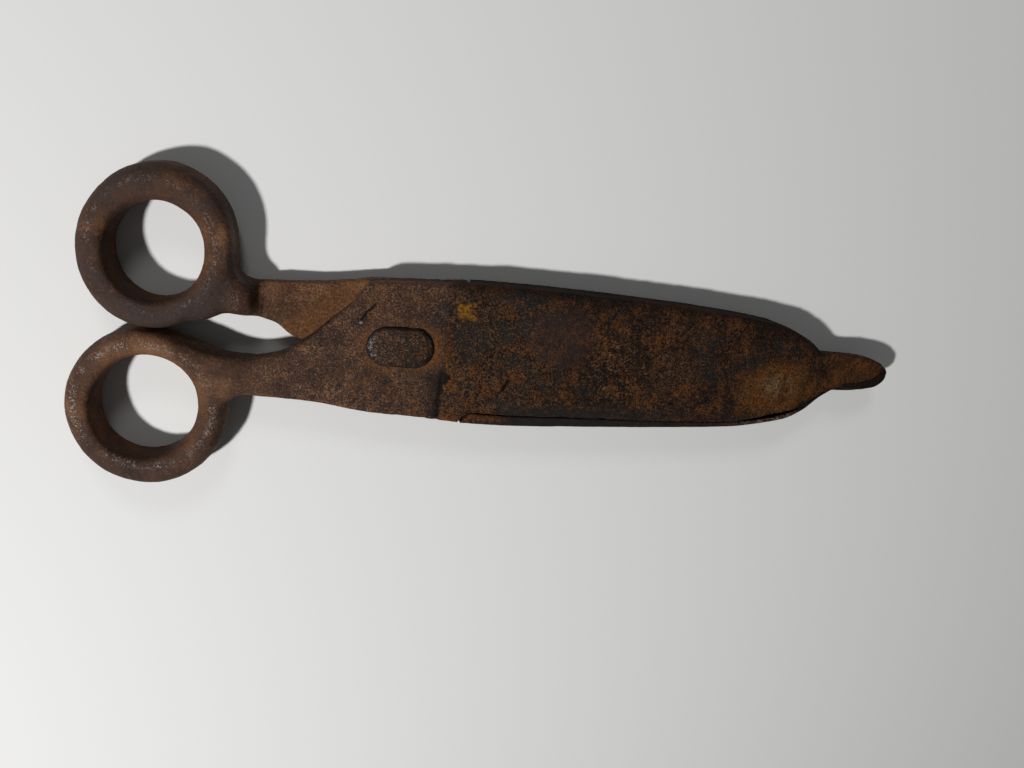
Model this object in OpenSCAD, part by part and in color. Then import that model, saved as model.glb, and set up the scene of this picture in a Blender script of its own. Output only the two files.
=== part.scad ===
// Ember tongs: two forged halves crossed on one rivet, with a finger ring at one
// end of each half and a hollow leaf-shaped mouth between them at the other end.
// Millimetres. X runs from the pivot to the tip, Y across the closed tool, and Z up
// from the surface it lies on. The origin is on the pivot axis, on that surface.
// Each half is drawn lying on its own inner face, ring below the X axis. The rear
// half is then rolled over about the X axis, which makes the arms cross.

/* [Finger rings] */
// Front ring, outside length along the tool
front_ring_l = 41.2; // [38:0.2:46]
// Front ring, outside width across the tool
front_ring_w = 43.6; // [40:0.2:48]
// Front ring, turn of its oval outline in degrees
front_ring_turn = -3; // [-30:1:30]
// Front ring, length of its hole
front_hole_l = 25.7; // [22:0.1:28]
// Front ring, width of its hole
front_hole_w = 29.1; // [24:0.1:31]
// Front ring, turn of its oval hole in degrees
front_hole_turn = -23; // [-30:1:30]
// Front ring, thickness of the bar
front_ring_t = 12; // [10:0.5:13]
// Front ring, distance of its centre behind the pivot
front_ring_x = 66.1; // [63:0.1:72]
// Rear ring, outside length along the tool
rear_ring_l = 38; // [36:0.2:44]
// Rear ring, outside width across the tool
rear_ring_w = 43.3; // [39:0.1:47]
// Rear ring, turn of its oval outline in degrees
rear_ring_turn = 25; // [-30:1:30]
// Rear ring, length of its hole
rear_hole_l = 22.8; // [18:0.2:25]
// Rear ring, width of its hole
rear_hole_w = 25; // [20:0.2:28]
// Rear ring, turn of its oval hole in degrees
rear_hole_turn = 18; // [-30:1:30]
// Rear ring, distance of its centre behind the pivot
rear_ring_x = 62; // [60:0.2:68]
// Gap between the closed rings, measured across the tool
ring_gap = 0.4; // [0.3:0.1:1.5]
// Where the closed rings meet, above the pivot
ring_meet_y = 0.7; // [-1:0.05:2]

/* [Arms] */
// Thickness of the neck, and of the two crossed laps together
arm_t = 9.8; // [8:0.2:11]
// Gap between the faces of the crossed laps
lap_gap = 0.3; // [0.1:0.05:0.5]
// Distance behind the pivot where an arm drops to its lap
lap_x = 37.4; // [34:0.2:39]
// Distance behind the pivot where the inner edges of the arms cross
cross_x = 26.6; // [24:0.2:29]
// How far below the pivot the inner edges cross
cross_y = 0.7; // [-0.5:0.1:1.5]
// Distance behind the pivot where the slanting lap edge reaches the far side
slant_x = 7; // [4:0.5:12]
// Front neck, outer edge from the pivot line
front_neck_out = 16.7; // [15:0.1:18.6]
// Front neck, inner edge from the pivot line
front_neck_in = 5.5; // [4:0.2:7]
// Rear neck, outer edge from the pivot line
rear_neck_out = 14.9; // [13.5:0.2:16.4]
// Rear neck, inner edge from the pivot line
rear_neck_in = 5.9; // [4:0.2:7]
// Distance in front of the pivot where arm and jaw are welded together
seam_x = 11.5; // [10:0.5:14]

/* [Mouth] */
// Front tongue tip in front of the pivot
front_tip_x = 147; // [142:0.2:156]
// Rear tongue tip in front of the pivot
rear_tip_x = 147.8; // [142:0.2:156]
// Upper edge of the mouth above the pivot line, where it is widest
upper_w = 18.4; // [16.6:0.2:20]
// Lower edge of the mouth below the pivot line, where it is widest
lower_w = 21.4; // [19:0.1:23]
// Distance in front of the pivot where the mouth has drawn in to the tongues
toe_x = 128; // [124:0.5:132]
// Thickness of a jaw plate
plate_t = 2.2; // [1.6:0.1:2.8]
// Height of the belly of each jaw from the middle plane, at its crown
belly_z = 6.5; // [5.8:0.1:7]
// Height of the edge of each jaw from the middle plane
edge_z = 4.7; // [4.4:0.1:4.9]
// How far each rim reaches past the middle plane
rim_reach = 4.3; // [3:0.1:4.4]
// Thickness of a rim at the heel of the mouth
rim_t = 3; // [2:0.1:3.6]
// Thickness of a rim at the toe of the mouth
toe_rim_t = 1.3; // [1:0.1:2]
// Gap between a rim and the edge of the other jaw inside it
rim_fit = 0.4; // [0.3:0.05:0.8]
// Distance in front of the pivot where both rims begin
rim_x = 20.5; // [19:0.5:24]
// Width of the front tongue at its root
tongue_w = 9.6; // [8:0.2:11]
// Thickness of one tongue
tongue_t = 3.5; // [2.5:0.1:4.5]

/* [Rivet] */
// Diameter of the rivet's shank
rivet_d = 8; // [6:0.2:9]
// Radial clearance between the shank and its holes
rivet_fit = 0.05; // [0.02:0.01:0.09]
// Length of the oblong front head along the tool
head_l = 18.4; // [16:0.2:20]
// Width of the oblong front head
head_w = 11.4; // [11:0.2:13]
// Height of the front head at its middle
head_rise = 1.7; // [1.2:0.1:2.2]
// Height of the front head at its two ends
head_end = 0.7; // [0.4:0.1:1]
// Diameter of the hammered tail at the back
tail_d = 13; // [11:0.5:15]
// Gap between the tail and the rear arm
tail_gap = 0.1; // [0.05:0.05:0.2]

/* [Hidden] */
$fn = 64;
iron = [0.32, 0.25, 0.21];
scale_iron = [0.36, 0.24, 0.16];
rivet_iron = [0.28, 0.23, 0.21];
mid_z = belly_z;             // the middle plane above the resting surface
face_z = arm_t / 2;          // outer face of a lap from the middle plane
lap_z = lap_gap / 2;         // inner face of a lap from the middle plane
// Half of what a turned oval measures across the tool
function half_across(l, w, turn) = norm([l * sin(turn), w * cos(turn)]) / 2;
front_ring_h = half_across(front_ring_l, front_ring_w, front_ring_turn);
rear_ring_h = half_across(rear_ring_l, rear_ring_w, rear_ring_turn);
front_ring_y = front_ring_h + ring_gap / 2 - ring_meet_y;
rear_ring_y = rear_ring_h + ring_gap / 2 + ring_meet_y;
swing_gap = 0.4;             // between a rim's beginning and what swings past it
corner_r = 1.2;              // worn corner of a lap or a jaw
neck_r = 3.2;                // rounding of the neck
ring_steps = 48;
bar_steps = 12;

// Curves
// Smooth step from 0 at a to 1 at b
function ramp(x, a, b) = let (u = min(1, max(0, (x - a) / (b - a)))) u * u * (3 - 2 * u);
function mix(a, b, u) = a + (b - a) * u;
// Index of the span of a list of [x, y] knots that holds x
function span(k, x, i = 0) = i >= len(k) - 2 || x < k[i + 1].x ? i : span(k, x, i + 1);
function rise(k, i) = (k[i + 1].y - k[i].y) / (k[i + 1].x - k[i].x);
// Slope at a knot: the gentler of its two sides, and level where they turn back
function slope(k, i) =
    i == 0 ? rise(k, 0)
    : i == len(k) - 1 ? rise(k, i - 1)
    : rise(k, i - 1) * rise(k, i) <= 0 ? 0
    : 2 * rise(k, i - 1) * rise(k, i) / (rise(k, i - 1) + rise(k, i));
// Height at x of the smooth curve through a list of [x, y] knots
function curve(k, x) =
    let (i = span(k, x), h = k[i + 1].x - k[i].x, u = (x - k[i].x) / h)
    k[i].y * (1 - u) * (1 - u) * (1 + 2 * u) + k[i + 1].y * u * u * (3 - 2 * u)
    + slope(k, i) * h * u * (1 - u) * (1 - u) - slope(k, i + 1) * h * u * u * (1 - u);

// Middle of a loop
function middle(loop) = [for (i = [0 : 2]) [for (p = loop) p[i]] * [for (p = loop) 1] / len(loop)];
// Skin over a row of loops with equal numbers of points, capped from the middle of each end
module skin(loops, closed = false) {
    n = len(loops[0]);
    rows = len(loops);
    spans = closed ? rows : rows - 1;
    sides = [for (j = [0 : spans - 1]) for (i = [0 : n - 1])
        let (a = j * n + i, b = j * n + (i + 1) % n)
        let (c = (j + 1) % rows * n + (i + 1) % n, d = (j + 1) % rows * n + i)
        each [[a, c, b], [a, d, c]]];
    first = rows * n;
    last = (rows - 1) * n;
    caps = closed ? [] : [for (i = [0 : n - 1])
        each [[first, i, (i + 1) % n], [first + 1, last + (i + 1) % n, last + i]]];
    middles = closed ? [] : [middle(loops[0]), middle(loops[rows - 1])];
    polyhedron(concat([for (l = loops) each l], middles), concat(sides, caps), convexity = 8);
}

// Outlines of the closed mouth, seen from the front
// Upper edge, carried by the front jaw: belly, shoulder and top of its tongue
upper_edge = [
    [seam_x, upper_w - 0.4], [22, upper_w], [36, upper_w - 0.2], [65, upper_w - 1.4],
    [toe_x - 40, upper_w - 3], [toe_x - 24, upper_w - 4.7], [toe_x - 15, upper_w - 6.7],
    [toe_x - 7.5, tongue_w / 2 + 3.4], [toe_x - 2, tongue_w / 2 + 0.1],
    [toe_x + 4, tongue_w / 2 + 0.2], [rear_tip_x + 8, tongue_w / 2 + 0.1]];
// Lower edge, carried by the rear jaw
lower_edge = [
    [seam_x, lower_w - 0.9], [22, lower_w - 0.1], [32, lower_w], [50, lower_w - 0.5],
    [68, lower_w - 1.1], [toe_x - 29, lower_w - 2.7], [toe_x - 17, lower_w - 4.5],
    [toe_x - 5, tongue_w / 2 + 9], [toe_x + 0.5, tongue_w / 2 + 4.8],
    [toe_x + 5, tongue_w / 2 + 2.2], [rear_tip_x + 8, tongue_w / 2 + 2.8]];
// Thickness of a rim along the mouth
function rim_wall(x) = mix(rim_t, toe_rim_t, ramp(x, rim_x + 10, toe_x - 16));
// A free edge lies this far inside the rim of the other jaw
function inset(x) = rim_wall(x) + rim_fit;
// Radius that everything swinging past the beginning of a rim stays inside
function swing_r(rim) = norm([rim_x, curve(rim, rim_x) - rim_wall(rim_x)]) - swing_gap;
function notch_from(rim) = sqrt(pow(swing_r(rim), 2) - pow(curve(rim, rim_x), 2));
function notch_to(rim) = min(rim_x - 0.1, sqrt(pow(swing_r(rim), 2) - pow(curve(rim, rim_x) - inset(rim_x), 2)));
// Free edge of a jaw inside the other jaw's rim, as a distance from the pivot line
function free_edge(rim, x) =
    let (u = min(1, max(0, (x - notch_from(rim)) / (notch_to(rim) - notch_from(rim)))))
    curve(rim, x) - inset(x) * u;
// Share of its width that a tongue keeps towards its rounded tip
function tip_share(x, tip) = pow(max(0.03, 1 - pow(max(0, (x - toe_x - 3) / (tip - toe_x - 3)), 2.2)), 0.5);

// Places along a jaw where its section is taken
function jaw_stations(rim, tip) = concat(
    [seam_x, mix(seam_x, notch_from(rim), 0.5), notch_from(rim), mix(notch_from(rim), notch_to(rim), 0.5)],
    [notch_to(rim), rim_x], [for (x = [2 : 2 : 8]) rim_x + x],
    [for (i = [1 : 12]) mix(rim_x + 8, toe_x - 24, i / 12)],
    [for (x = [-20 : 2.5 : 5]) toe_x + x],
    [for (i = [1 : 9]) mix(toe_x + 5, tip, sin(i * 10))]);

// Section of a jaw at x: plate, outer wall, rim and the dished inside
function jaw_section(x, rim, other, tip) =
    let (
        share = tip_share(x, tip),
        hi0 = curve(rim, x),
        lo0 = -free_edge(other, x),
        mid = (hi0 + lo0) / 2,
        hi = mid + (hi0 - mid) * share,
        lo = mid + (lo0 - mid) * share,
        toe = ramp(x, toe_x - 16, toe_x + 2),
        heel = 1 - ramp(x, seam_x + 6, rim_x + 6),
        r = min(corner_r, (hi - lo) * 0.3),
        edge = mix(mix(edge_z, face_z, heel), tongue_t + lap_z, toe),
        belly = (belly_z - edge_z) * ramp(x, seam_x + 3, rim_x + 20) * (1 - ramp(x, toe_x - 32, toe_x - 4)),
        wall = min(rim_wall(x), (hi - lo) * 0.3),
        reach = (1 - ramp(x, toe_x - 13, toe_x)) * ramp(x, rim_x, rim_x + 4),
        ys = concat([lo, lo + 0.3 * r], [for (i = [0 : 8]) mix(lo + r, hi - r, i / 8)], [hi - 0.3 * r, hi]),
        drop = concat([r, 0.29 * r], [for (i = [0 : 8]) 0], [0.29 * r, r]),
        outside = [for (i = [0 : 12])
            let (s = abs(2 * (ys[i] - lo) / (hi - lo) - 1))
            [x, ys[i], edge + belly * min(1, 1.3 * (1 - pow(s, 2.5))) - drop[i]]],
        thick = mix(plate_t, edge - lap_z, max(heel, toe)),
        inner = [for (i = [0 : 9])
            let (y = mix(lo, hi - wall - 0.3, i / 9), s = abs(2 * (y - lo) / (hi - lo) - 1))
            [x, y, max(lap_z, edge + belly * min(1, 1.3 * (1 - pow(s, 2.5))) * (1 - max(heel, toe)) - thick)]],
        rim_z = mix(inner[9].z, -rim_reach, reach))
    concat(inner, [[x, hi - wall, rim_z], [x, hi, rim_z]], [for (i = [12 : -1 : 0]) outside[i]]);

// One jaw, lying over its inner face with its rim on the far side
module jaw(rim, other, tip) {
    skin([for (x = jaw_stations(other, tip)) jaw_section(x, rim, other, tip)]);
}

// Arms
// Point on a ring's bar: a share k of half its length and m of half its measure across
function on_ring(x, y, l, h, k, m) = [-x + k * l / 2, -y + m * h];
// Inner edge of an arm, from inside the ring's bar past the crossing to the far side
function arm_inner(x, y, l, h, neck, crotch, cross, far) = [
    on_ring(x, y, l, h, 0.39, 0.87), on_ring(x, y, l, h, 0.53, 0.88), on_ring(x, y, l, h, 0.78, 0.785),
    [-cross_x - crotch - 6, -neck], [-cross_x - crotch, -neck * 0.86],
    [-cross_x - crotch * 0.5, -neck * 0.62], [-cross_x - crotch * 0.2, cross - neck * 0.18], [-cross_x, cross],
    [mix(-cross_x, -slant_x, 0.35), far * 0.29], [mix(-cross_x, -slant_x, 0.7), far * 0.64],
    [mix(-cross_x, -slant_x, 0.9), far * 0.92], [-slant_x, far - 1], [seam_x, far]];
// Outer edge of an arm, from inside the ring's bar along the neck to the seam
function arm_outer(x, y, l, h, neck, heel) = [
    on_ring(x, y, l, h, 0.39, 0.6), on_ring(x, y, l, h, 0.53, 0.46), on_ring(x, y, l, h, 0.68, 0.13),
    on_ring(x, y, l, h, 0.82, 0), on_ring(x, y, l, h, 0.94, 0.05),
    [-x + l / 2 + 0.5, -neck - 1.7], [-x + l / 2 + 2.6, -neck - 0.3], [-x + l / 2 + 7, -neck],
    [-cross_x, -neck - 0.1], [-slant_x - 1, mix(-neck, -heel, 0.7)], [seam_x, -heel]];

// Section of an arm at x: a bar with worn corners, sharper on its lap
function arm_section(x, inner, outer, ring_end, ring_t) =
    let (
        lo = curve(outer, x),
        hi = curve(inner, x),
        top = mix(ring_t / 2 - 0.5, face_z, ramp(x, ring_end - 8, ring_end + 3)),
        lap = ramp(x, -lap_x - 3, -lap_x),
        bottom = mix(-top, lap_z, lap),
        r = mix(neck_r, corner_r, ramp(x, -lap_x - 4, -cross_x)),
        s = mix(neck_r, 0.3, lap))
    concat(
        [for (a = [180, 225, 270]) [x, lo + s + s * cos(a), bottom + s + s * sin(a)]],
        [for (a = [270, 315, 360]) [x, hi - s + s * cos(a), bottom + s + s * sin(a)]],
        [for (a = [0, 45, 90]) [x, hi - r + r * cos(a), top - r + r * sin(a)]],
        [for (a = [90, 135, 180]) [x, lo + r + r * cos(a), top - r + r * sin(a)]]);

function arm_stations(x, l) = concat(
    [for (k = [0.39, 0.46, 0.53, 0.6, 0.68, 0.75, 0.82, 0.88, 0.94]) -x + k * l / 2],
    [for (d = [0.5, 1.5, 2.6]) -x + l / 2 + d],
    [for (i = [1 : 5]) mix(-x + l / 2 + 2.6, -cross_x - 1, i / 5)],
    [-cross_x], [for (i = [1 : 8]) mix(-cross_x, -slant_x, i / 8)], [0, seam_x]);

// Largest reach of a ring's section, so that its flats lie on the stated size
function squarish(v) = pow(pow(abs(cos(v)), 3) + pow(abs(sin(v)), 3), -1 / 3);
function full_reach() = sin(90 - 180 / bar_steps) * squarish(180 / bar_steps);
// Point of an oval of that length and width, turned about its middle
function oval(l, w, turn, u) =
    let (p = [l / 2 * cos(u), w / 2 * sin(u)])
    [p.x * cos(turn) - p.y * sin(turn), p.x * sin(turn) + p.y * cos(turn)];
// Oval ring: a squarish section carried round between an outline and a hole, which is
// moved by shift. Outline and hole are each a length, a width and a turn.
module ring(x, y, outline, t, hole, shift) {
    skin([for (j = [0 : ring_steps - 1])
        let (
            u = j * 360 / ring_steps,
            out = [-x, -y] + oval(outline[0], outline[1], outline[2], u),
            in = [-x, -y] + shift + oval(hole[0], hole[1], hole[2], u))
        [for (i = [0 : bar_steps - 1])
            let (
                v = -(i + 0.5) * 360 / bar_steps,
                q = squarish(v) / full_reach(),
                p = (out + in) / 2 + (out - in) / 2 * cos(v) * q)
            [p.x, p.y, t / 2 * sin(v) * q]]], closed = true);
}

// One arm with its ring, neck and lap, drilled for the rivet
module arm(x, y, h, outline, t, hole, shift, neck_out, neck_in, crotch, cross, heel, far) {
    l = outline[0];
    inner = arm_inner(x, y, l, h, neck_in, crotch, cross, far);
    outer = arm_outer(x, y, l, h, neck_out, heel);
    difference() {
        union() {
            ring(x, y, outline, t, hole, shift);
            skin([for (s = arm_stations(x, l)) arm_section(s, inner, outer, -x + l / 2, t)]);
        }
        translate([0, 0, -arm_t])
            cylinder(h = 2 * arm_t, r = rivet_d / 2 + rivet_fit);
    }
}

// The front half stands over the middle plane, and the rear half is rolled over
module front_half() {
    translate([0, 0, mid_z])
        children();
}
module rear_half() {
    translate([0, 0, mid_z])
        rotate([180, 0, 0])
            children();
}

// Lower ring, front neck and front lap
module front_arm() {
    color(iron)
        front_half()
            arm(front_ring_x, front_ring_y, front_ring_h,
                [front_ring_l, front_ring_w, front_ring_turn], front_ring_t,
                [front_hole_l, front_hole_w, front_hole_turn], [-0.2, 0.8],
                front_neck_out, front_neck_in, 9.4, -cross_y, lower_w - 0.9, upper_w - 0.4);
}

// Upper ring, rear neck and rear lap
module rear_arm() {
    color(iron)
        rear_half()
            arm(rear_ring_x, rear_ring_y, rear_ring_h,
                [rear_ring_l, rear_ring_w, rear_ring_turn], 2 * belly_z,
                [rear_hole_l, rear_hole_w, rear_hole_turn], [-0.2, 1],
                rear_neck_out, rear_neck_in, 14.4, cross_y, upper_w - 0.4, lower_w - 0.9);
}

// Front shell of the mouth, with the rim along the top edge
module front_jaw() {
    color(scale_iron)
        front_half()
            jaw(upper_edge, lower_edge, front_tip_x);
}

// Rear shell of the mouth, with the rim along the bottom edge
module rear_jaw() {
    color(scale_iron)
        rear_half()
            jaw(lower_edge, upper_edge, rear_tip_x);
}

// Flat oblong with round ends
module oblong(l, w, h) {
    for (side = [-1, 1])
        translate([side * (l - w) / 2, 0, 0])
            cylinder(h = h, r = w / 2);
    translate([-(l - w) / 2, -w / 2, 0])
        cube([l - w, w, h]);
}

// Rivet: oblong domed head in front, round shank, round tail hammered flat at the back
module pivot_rivet() {
    dome = head_rise - head_end;
    dome_r = (pow(head_l / 2, 2) + dome * dome) / (2 * dome);
    back = mid_z - face_z - tail_gap;
    color(rivet_iron) {
        translate([0, 0, mid_z + face_z])
            intersection() {
                oblong(head_l, head_w, head_rise);
                translate([0, 0, head_rise - dome_r])
                    sphere(r = dome_r, $fn = 128);
            }
        cylinder(h = mid_z + face_z, r = rivet_d / 2);
        rotate_extrude()
            polygon([[0, 0], [tail_d / 2 - 1.4, 0], [tail_d / 2 - 0.5, back * 0.35],
                [tail_d / 2, back], [0, back]]);
    }
}

front_arm();
front_jaw();
rear_arm();
rear_jaw();
pivot_rivet();
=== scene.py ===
import bpy
import numpy as np
from mathutils import Matrix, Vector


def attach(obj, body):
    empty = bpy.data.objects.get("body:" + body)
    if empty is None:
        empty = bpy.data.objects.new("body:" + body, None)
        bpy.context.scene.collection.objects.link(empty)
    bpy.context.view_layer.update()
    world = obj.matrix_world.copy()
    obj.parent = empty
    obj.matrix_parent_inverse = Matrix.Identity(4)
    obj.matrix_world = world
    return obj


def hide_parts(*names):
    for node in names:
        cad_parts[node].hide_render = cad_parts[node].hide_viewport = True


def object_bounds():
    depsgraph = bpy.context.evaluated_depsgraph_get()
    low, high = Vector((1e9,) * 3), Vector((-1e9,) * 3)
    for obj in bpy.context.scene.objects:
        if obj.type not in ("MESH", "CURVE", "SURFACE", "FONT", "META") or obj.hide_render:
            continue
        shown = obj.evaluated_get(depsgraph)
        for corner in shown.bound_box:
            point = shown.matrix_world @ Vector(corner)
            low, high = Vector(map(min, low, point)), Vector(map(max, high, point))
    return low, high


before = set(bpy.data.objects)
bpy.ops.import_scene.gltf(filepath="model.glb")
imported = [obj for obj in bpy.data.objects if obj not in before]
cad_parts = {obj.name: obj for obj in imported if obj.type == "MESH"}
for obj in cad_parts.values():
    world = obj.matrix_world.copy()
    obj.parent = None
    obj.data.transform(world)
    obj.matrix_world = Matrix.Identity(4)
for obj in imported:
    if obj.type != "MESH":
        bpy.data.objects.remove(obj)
cadLow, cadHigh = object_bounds()
print("frame loaded:", sorted(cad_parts))

mm = 0.001  # shapes are worked out in millimetres and stored in metres

# the tongs lie on their back: X to the tip, Y across, Z up; the middle plane parts the halves
tongs = {
    "middleZ": 6.5,      # height of the middle plane
    "faceZ": 4.9,        # outer face of a lap from the middle plane
    "lapZ": 0.16,        # inner face of a lap from the middle plane
    "lapX": 37.4,        # where an arm drops to its lap, behind the rivet
    "crossX": 26.6,      # where the inner edges of the arms cross
    "slantX": 7.0,       # where the slanting lap edge reaches the far side
    "seamX": 11.5,       # weld between arm and jaw
    "rimX": 20.5,        # beginning of the rims
    "boreR": 4.05,       # radius of the hole for the rivet through both laps
    "seamSink": 0.35,    # how far the ends of arm and jaw draw in where one is inside the other
    "toeX": 128.0,       # where the mouth has drawn in to the tongues
}


def ramp(x, a, b):  # smooth step from 0 at a to 1 at b
    u = np.clip((x - a) / (b - a), 0, 1)
    return u * u * (3 - 2 * u)


def mix(a, b, u):  # a where u is 0, b where it is 1
    return a + (b - a) * u


def curve(knots, x):
    # smooth curve through [x, y] knots: cubic spans whose slope at a knot is the harmonic
    # mean of the slopes on its two sides, and level where they turn back
    k = np.array(knots, float)
    h = np.diff(k[:, 0])
    rise = np.diff(k[:, 1]) / h
    same = rise[:-1] * rise[1:] > 0
    between = np.where(same, 2 * rise[:-1] * rise[1:] / np.where(same, rise[:-1] + rise[1:], 1), 0)
    slope = np.concatenate([rise[:1], between, rise[-1:]])
    i = np.clip(np.searchsorted(k[:, 0], x, side="right") - 1, 0, len(h) - 1)
    u = (x - k[i, 0]) / h[i]
    return (k[i, 1] * (1 - u) ** 2 * (1 + 2 * u) + k[i + 1, 1] * u * u * (3 - 2 * u)
            + slope[i] * h[i] * u * (1 - u) ** 2 - slope[i + 1] * h[i] * u * u * (1 - u))


# noise on whole arrays of points

def cellValue(i, j, k, seed):
    # a fixed number from 0 to 1 for each cell of a lattice, from its three indices
    n = (i * 73856093 ^ j * 19349663 ^ k * 83492791 ^ seed * 2654435761) & 0xffffffff
    n = ((n ^ (n >> 13)) * 1274126177) & 0xffffffff
    return ((n ^ (n >> 16)) & 0xffff) / 65535.0


def cloud(p, size, seed):
    # values at the corners of cells of that size, mixed smoothly between them, -1 to 1
    q = p / size
    c = np.floor(q).astype(np.int64)
    f = q - c
    f = f * f * (3 - 2 * f)
    total = np.zeros(len(p))
    for corner in range(8):
        d = np.array([corner & 1, corner >> 1 & 1, corner >> 2])
        share = np.prod(np.where(d, f, 1 - f), axis=1)
        total += share * cellValue(c[:, 0] + d[0], c[:, 1] + d[1], c[:, 2] + d[2], seed)
    return 2 * total - 1


def clouds(p, size, octaves, seed):
    # clouds laid over each other, each half as large and half as strong as the last
    layers = [cloud(p, size / 2 ** n, seed + n) / 2 ** n for n in range(octaves)]
    return sum(layers) / (2 - 2.0 ** (1 - octaves))


def nearest(p, size, seed):
    # distance to the nearest of points strewn one to a cell, in cells
    q = p / size
    c = np.floor(q).astype(np.int64)
    best = np.full(len(p), 9.0)
    for n in range(27):
        k = c + np.array([n % 3 - 1, n // 3 % 3 - 1, n // 9 - 1])
        spot = np.stack([cellValue(k[:, 0], k[:, 1], k[:, 2], seed + m) for m in range(3)], 1)
        best = np.minimum(best, ((q - k - spot) ** 2).sum(1))
    return np.sqrt(best)


# meshes

def insideOut(co, quads):  # whether the volume inside the faces comes out negative
    a, b, c, d = (co[quads[:, corner]] for corner in range(4))
    return (a * (np.cross(b, c) + np.cross(c, d))).sum() < 0


def gridShell(points, wrapped=False):
    # a closed skin over rows of points: each row is a loop, rows join to the next one, and the
    # last to the first if wrapped; otherwise both ends close on the middle of their loop
    rows, cols = points.shape[:2]
    index = np.arange(rows * cols).reshape(rows, cols)
    here = index if wrapped else index[:-1]
    after = np.roll(index, -1, 0) if wrapped else index[1:]
    quads = np.stack([here, np.roll(here, -1, 1), np.roll(after, -1, 1), after], -1).reshape(-1, 4)
    co = points.reshape(-1, 3)
    if wrapped:
        return co, quads, np.zeros((0, 3), int)
    co = np.concatenate([co, points[0].mean(0)[None], points[-1].mean(0)[None]])
    first, last = index[0], index[-1]
    start = np.stack([np.full(cols, rows * cols), np.roll(first, -1), first], -1)
    end = np.stack([np.full(cols, rows * cols + 1), last, np.roll(last, -1)], -1)
    return co, quads, np.concatenate([start, end])


def joinShells(shells):
    # the shells one after another, as one list of points and faces, facing outwards
    allCo, allFaces, base = [], [], 0
    for co, quads, tris in shells:
        order = -1 if insideOut(co, quads) else 1
        for faces in (quads, tris):
            allFaces += (faces[:, ::order] + base).tolist()
        allCo.append(co)
        base += len(co)
    return np.concatenate(allCo), allFaces


def addObject(name, data):  # an object in the scene that holds that mesh, lamp or camera
    added = bpy.data.objects.new(name, data)
    bpy.context.scene.collection.objects.link(added)
    return added


def newPiece(name, co, faces):
    mesh = bpy.data.meshes.new(name)
    mesh.from_pydata(co.tolist(), [], faces)
    mesh.update()
    return addObject(name, mesh)


def readRows(items, key, width, kind=np.float32):  # one row of that many numbers for each item
    rows = np.empty(len(items) * width, kind)
    items.foreach_get(key, rows)
    return rows.reshape(-1, width)


def readPoints(mesh):
    return readRows(mesh.vertices, "co", 3).astype(float)


def writePoints(mesh, co):
    mesh.vertices.foreach_set("co", co.astype(np.float32).ravel())
    mesh.update()


def bake(piece, modifier, **settings):
    # adds one modifier and keeps its result as the mesh
    added = piece.modifiers.new(modifier.lower(), modifier)
    for key, value in settings.items():
        setattr(added, key, value)
    bpy.context.view_layer.update()
    made = bpy.data.meshes.new_from_object(piece.evaluated_get(bpy.context.evaluated_depsgraph_get()))
    piece.modifiers.remove(added)
    old, piece.data = piece.data, made
    bpy.data.meshes.remove(old)


def relax(mesh, rounds, share):
    # every round moves each point towards the mean of its neighbours, by its share of half way
    co = readPoints(mesh)
    a, b = readRows(mesh.edges, "vertices", 2, np.int32).T
    n = len(co)
    count = np.bincount(a, minlength=n) + np.bincount(b, minlength=n)
    for _ in range(rounds):
        total = np.stack([np.bincount(a, co[b, i], n) + np.bincount(b, co[a, i], n) for i in range(3)], 1)
        co += 0.5 * share[:, None] * (total / count[:, None] - co)
    writePoints(mesh, co)


# the worn surface, as a height over the smooth shape

wear = {
    "swell": 0.16, "swellSize": 17,     # slow unevenness
    "dent": 0.16, "dentSize": 8.5,      # hammer marks
    "flake": 0.13, "flakeSize": 7,      # scale that has come off the mouth in sheets
    "pit": 0.12, "pitSize": 3.4,        # rust pits
    "grain": 0.10, "grainSize": 1.2,    # fine roughness
    "waver": 0.35, "waverSize": 2.5,    # how far the line of a cut wavers
    "inset": 0.01,                      # how far inside the box round the solids it all stays
}
# shallow cuts in the outer faces: their ends in X and Y, how far they run on past them (fade),
# and their side, 1 on the front and -1 on the back
cuts = {
    "weld": {"ends": ((10.9, -20.6), (11.9, -7.2)), "width": 0.8, "depth": 0.4, "fade": 1.6, "side": 1},
    "slit": {"ends": ((-10.6, 7.1), (-7.2, 11.1)), "width": 0.5, "depth": 0.4, "fade": 0.8, "side": 1},
    "crack": {"ends": ((29.0, -10.7), (30.0, -7.9)), "width": 0.45, "depth": 0.4, "fade": 0.8, "side": 1},
    "backWeld": {"ends": ((10.9, 18.6), (11.9, 6.0)), "width": 0.9, "depth": 0.5, "fade": 1.6, "side": -1},
}


def groove(p, cut):
    # the cut as a negative height, on its own side of the middle plane: a bell curve of the
    # distance from its line, dying out past its ends
    start, end = np.array(cut["ends"])
    along = end - start
    length = np.hypot(*along)
    u = (p[:, :2] - start) @ along / length
    v = (p[:, :2] - start) @ np.array([-along[1], along[0]]) / length
    v = v + wear["waver"] * clouds(p, wear["waverSize"], 2, 9)
    over = np.maximum(np.maximum(-u, u - length), 0)
    onSide = (p[:, 2] - tongs["middleZ"]) * cut["side"] > 0
    return -cut["depth"] * np.exp(-(v / cut["width"]) ** 2) * np.exp(-(over / cut["fade"]) ** 2) * onSide


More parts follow.
